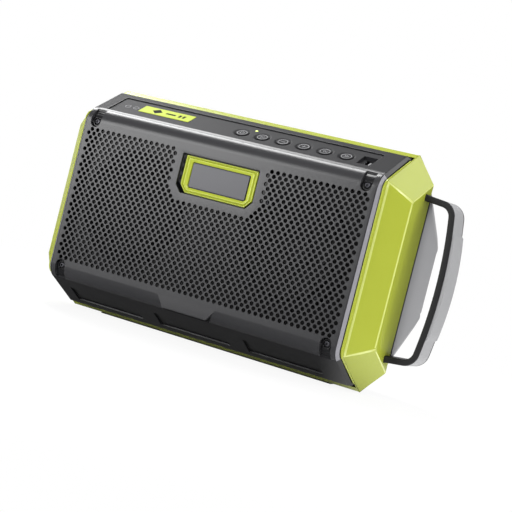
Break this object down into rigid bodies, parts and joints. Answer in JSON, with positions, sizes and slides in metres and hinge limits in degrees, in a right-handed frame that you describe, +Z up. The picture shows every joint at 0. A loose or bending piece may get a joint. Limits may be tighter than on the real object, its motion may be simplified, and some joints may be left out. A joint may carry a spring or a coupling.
{
  "type": "jobsite radio",
  "caption": "Jobsite speaker radio: wedge-fronted dark unit with a rolled perforated grille and control deck, green shell, grey rear housing with battery well, side carrying handle.",
  "frame": {"origin": "centre of the underside of the rubber foot, which is the plane the radio stands on, in the middle of its width", "axes": "+X to the radio's right-hand end as seen from its front, where the handle is; +Y from the grille to the back; +Z up"},
  "size_m": [0.3854, 0.118, 0.2139],
  "materials": {
    "shell_green": "satin moulded plastic",
    "rear_grey": "satin moulded plastic",
    "chassis_dark": "satin moulded plastic",
    "grille_dark": "satin paint on moulded plastic",
    "badge_green": "gloss plastic",
    "badge_dark": "gloss plastic",
    "panel_dark": "fine texture",
    "label_green": "printed film",
    "button_black": "soft touch",
    "led_clear": "clear",
    "board_green": "lacquered glass-fibre board",
    "switch_metal": "stamped",
    "port_metal": "stamped",
    "port_white": "moulded",
    "screw_dark": "black zinc",
    "screw_steel": "zinc plated",
    "basket_black": "stoved paint",
    "magnet_grey": "bare ferrite between steel plates",
    "cone_paper": "pressed paper",
    "surround_rubber": "matt",
    "gasket_foam": "closed-cell foam",
    "heat_sink_metal": "extruded",
    "bay_black": "satin",
    "contact_brass": "plated",
    "handle_black": "satin",
    "grip_grey": "soft overmould",
    "foot_rubber": "matt",
    "seal_rubber": "matt"
  },
  "bodies": {
    "housing": {"outer_shell": "shell_green", "rear_housing": "rear_grey", "front_chassis": "chassis_dark", "grille": "grille_dark", "badge_frame": "badge_green", "badge_plate": "badge_dark", "control_panel": "panel_dark", "label_patch": "label_green", "led_lens": "led_clear", "control_board": "board_green", "tact_switches": "switch_metal", "usb_shell": "port_metal", "usb_tongue": "port_white", "front_screws": "screw_dark", "left_basket": "basket_black", "right_basket": "basket_black", "left_magnet": "magnet_grey", "right_magnet": "magnet_grey", "left_cone": "cone_paper", "right_cone": "cone_paper", "left_surround": "surround_rubber", "right_surround": "surround_rubber", "left_dust_cap": "cone_paper", "right_dust_cap": "cone_paper", "driver_gaskets": "gasket_foam", "driver_screws": "screw_steel", "main_board": "board_green", "board_screws": "screw_steel", "heat_sink": "heat_sink_metal", "battery_bay": "bay_black", "battery_terminals": "contact_brass", "handle_core": "handle_black", "handle_grip": "grip_grey", "handle_screws": "screw_steel", "rear_screws": "screw_steel", "body_seal": "seal_rubber", "rubber_foot": "foot_rubber"},
    "power_button": {"power_button": "button_black"},
    "mode_button": {"mode_button": "button_black"},
    "volume_down_button": {"volume_down_button": "button_black"},
    "volume_up_button": {"volume_up_button": "button_black"},
    "previous_button": {"previous_button": "button_black"},
    "next_button": {"next_button": "button_black"}
  },
  "joints": [
    {"name": "power_button_press", "type": "slide", "parent": "housing", "child": "power_button", "axis": [0, 0.4848, -0.8746], "range_m": [0, 0.0008], "stiffness_N_per_m": 2000},
    {"name": "mode_button_press", "type": "slide", "parent": "housing", "child": "mode_button", "axis": [0, 0.4848, -0.8746], "range_m": [0, 0.0008], "stiffness_N_per_m": 2000},
    {"name": "volume_down_button_press", "type": "slide", "parent": "housing", "child": "volume_down_button", "axis": [0, 0.4848, -0.8746], "range_m": [0, 0.0008], "stiffness_N_per_m": 2000},
    {"name": "volume_up_button_press", "type": "slide", "parent": "housing", "child": "volume_up_button", "axis": [0, 0.4848, -0.8746], "range_m": [0, 0.0008], "stiffness_N_per_m": 2000},
    {"name": "previous_button_press", "type": "slide", "parent": "housing", "child": "previous_button", "axis": [0, 0.4848, -0.8746], "range_m": [0, 0.0008], "stiffness_N_per_m": 2000},
    {"name": "next_button_press", "type": "slide", "parent": "housing", "child": "next_button", "axis": [0, 0.4848, -0.8746], "range_m": [0, 0.0008], "stiffness_N_per_m": 2000}
  ]
}
